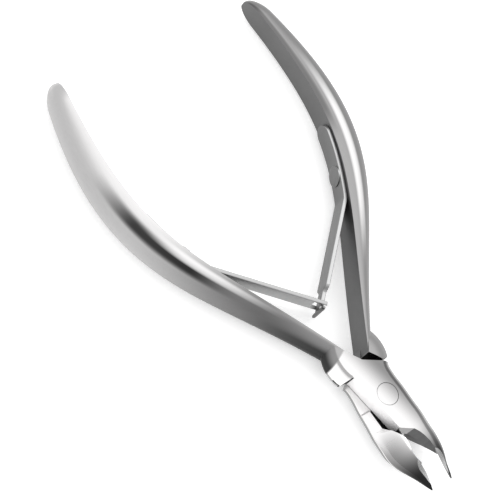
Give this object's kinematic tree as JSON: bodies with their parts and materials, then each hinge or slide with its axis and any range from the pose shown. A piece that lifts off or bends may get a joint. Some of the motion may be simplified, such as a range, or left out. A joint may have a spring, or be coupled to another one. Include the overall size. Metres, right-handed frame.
{
  "type": "cuticle nipper",
  "caption": "Lap-jointed steel cuticle nipper: curved D-section handles held open by interlocking leaf springs, with short pointed cutting jaws.",
  "frame": {"origin": "on the pivot axis in the back face of the joint, which is the lowest face when the tool lies flat", "axes": "+Z along the pivot axis out of the front face, +Y towards the handle ends, jaws on -Y; the handle on -X belongs to the front half"},
  "size_m": [0.067, 0.1117, 0.0072],
  "materials": {
    "front_steel": "satin handle, polished joint and jaw",
    "rear_steel": "satin handle, polished joint and jaw",
    "rivet_steel": "polished flush",
    "spring_steel": "satin spring strip",
    "spring_rivet_steel": "satin"
  },
  "bodies": {
    "front": {"front_half": "front_steel", "pivot_rivet": "rivet_steel", "left_leaf_tab": "spring_steel", "left_spring_rivet": "spring_rivet_steel"},
    "rear": {"rear_half": "rear_steel", "right_leaf_tab": "spring_steel", "right_spring_rivet": "spring_rivet_steel"},
    "left_blade": {"left_leaf_blade": "spring_steel"},
    "right_blade": {"right_leaf_blade": "spring_steel"}
  },
  "joints": [
    {"name": "pivot", "type": "hinge", "parent": "front", "child": "rear", "pos_m": [0, 0, 0.0036], "axis": [0, 0, 1], "range_deg": [0, 14], "stiffness_Nm_per_rad": 2, "springref_deg": -5.73},
    {"name": "right_leaf_flex", "type": "hinge", "parent": "rear", "child": "right_blade", "pos_m": [0.01899, 0.04086, 0.0036], "axis": [0, 0, 1], "range_deg": [0, 9]},
    {"name": "left_leaf_flex", "type": "hinge", "parent": "front", "child": "left_blade", "pos_m": [-0.01899, 0.04086, 0.0036], "axis": [0, 0, 1], "range_deg": [-9, 0]}
  ],
  "couplings": [
    {"joint": "right_leaf_flex", "follows": "pivot", "ratio": 0.6},
    {"joint": "left_leaf_flex", "follows": "pivot", "ratio": -0.6}
  ]
}
